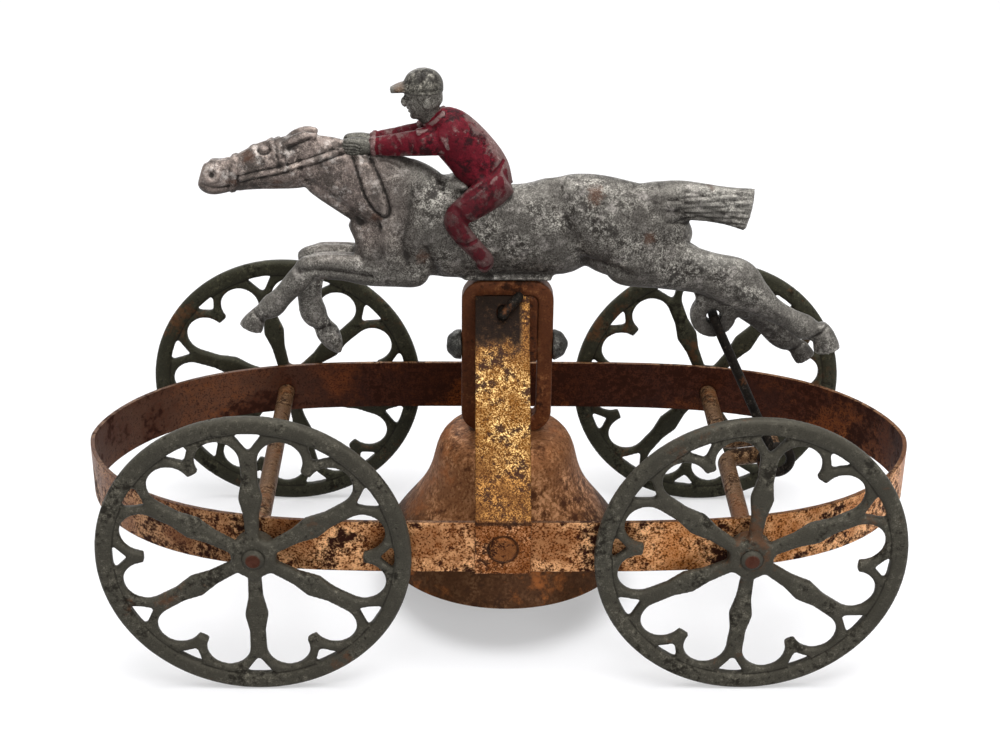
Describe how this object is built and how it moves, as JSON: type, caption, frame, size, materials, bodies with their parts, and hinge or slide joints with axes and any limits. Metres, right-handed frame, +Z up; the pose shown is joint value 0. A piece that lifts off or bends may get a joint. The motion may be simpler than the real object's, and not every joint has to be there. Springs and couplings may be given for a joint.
{
  "type": "pull-along bell toy",
  "caption": "Pull-along bell toy: a galloping horse and rider rock above an oval strip frame on heart-spoked wheels, driven by a cranked axle, and ring a hanging bell.",
  "frame": {"origin": "on the floor under the middle of the hoop", "axes": "+X along the toy from the horse's nose to its tail, +Y across the toy, +Z up"},
  "size_m": [0.197, 0.0908, 0.1337],
  "materials": {
    "copper_strip": "worn copper-coloured japanning on strip steel, mottled dark",
    "dark_wire": "dark oxidised wire",
    "axle_wire": "rusty brown wire",
    "wheel_iron": "dull dark grey-green casting",
    "white_metal": "dull silver casting with worn crimson paint on the rider",
    "hanger_bar": "dark brown worn coating",
    "bell_metal": "dull brown patina"
  },
  "bodies": {
    "frame": {"hoop_band": "copper_strip", "near_strap": "copper_strip", "far_strap": "copper_strip", "near_strap_rivet": "copper_strip", "far_strap_rivet": "copper_strip", "pivot_pin": "dark_wire"},
    "front_wheelset": {"front_axle": "axle_wire", "front_near_wheel": "wheel_iron", "front_far_wheel": "wheel_iron"},
    "rear_wheelset": {"crank_axle": "axle_wire", "rear_near_wheel": "wheel_iron", "rear_far_wheel": "wheel_iron"},
    "rocker": {"horse_and_jockey": "white_metal", "pivot_block": "white_metal", "hanger_loop": "hanger_bar", "bell": "bell_metal", "bell_stud": "dark_wire"},
    "clapper": {"clapper_rod": "dark_wire", "clapper_ball": "white_metal"},
    "link": {"connecting_rod": "dark_wire"}
  },
  "joints": [
    {"name": "front_wheels_turn", "type": "hinge", "parent": "frame", "child": "front_wheelset", "pos_m": [-0.0553, 0, 0.035], "axis": [0, 1, 0], "continuous": true},
    {"name": "rear_wheels_turn", "type": "hinge", "parent": "frame", "child": "rear_wheelset", "pos_m": [0.0553, 0, 0.035], "axis": [0, 1, 0], "continuous": true},
    {"name": "horse_rock", "type": "hinge", "parent": "frame", "child": "rocker", "pos_m": [0, 0, 0.078], "axis": [0, 1, 0], "range_deg": [-13.5, 13.5]},
    {"name": "clapper_swing", "type": "hinge", "parent": "rocker", "child": "clapper", "pos_m": [0.0013, 0, 0.03698], "axis": [0, 1, 0], "range_deg": [-50, 50]},
    {"name": "link_swing", "type": "hinge", "parent": "rocker", "child": "link", "pos_m": [0.0497, 0, 0.0741], "axis": [0, 1, 0], "range_deg": [-14, 14]}
  ],
  "couplings": [
    {"joint": "link_swing", "follows": "horse_rock", "ratio": -1}
  ]
}
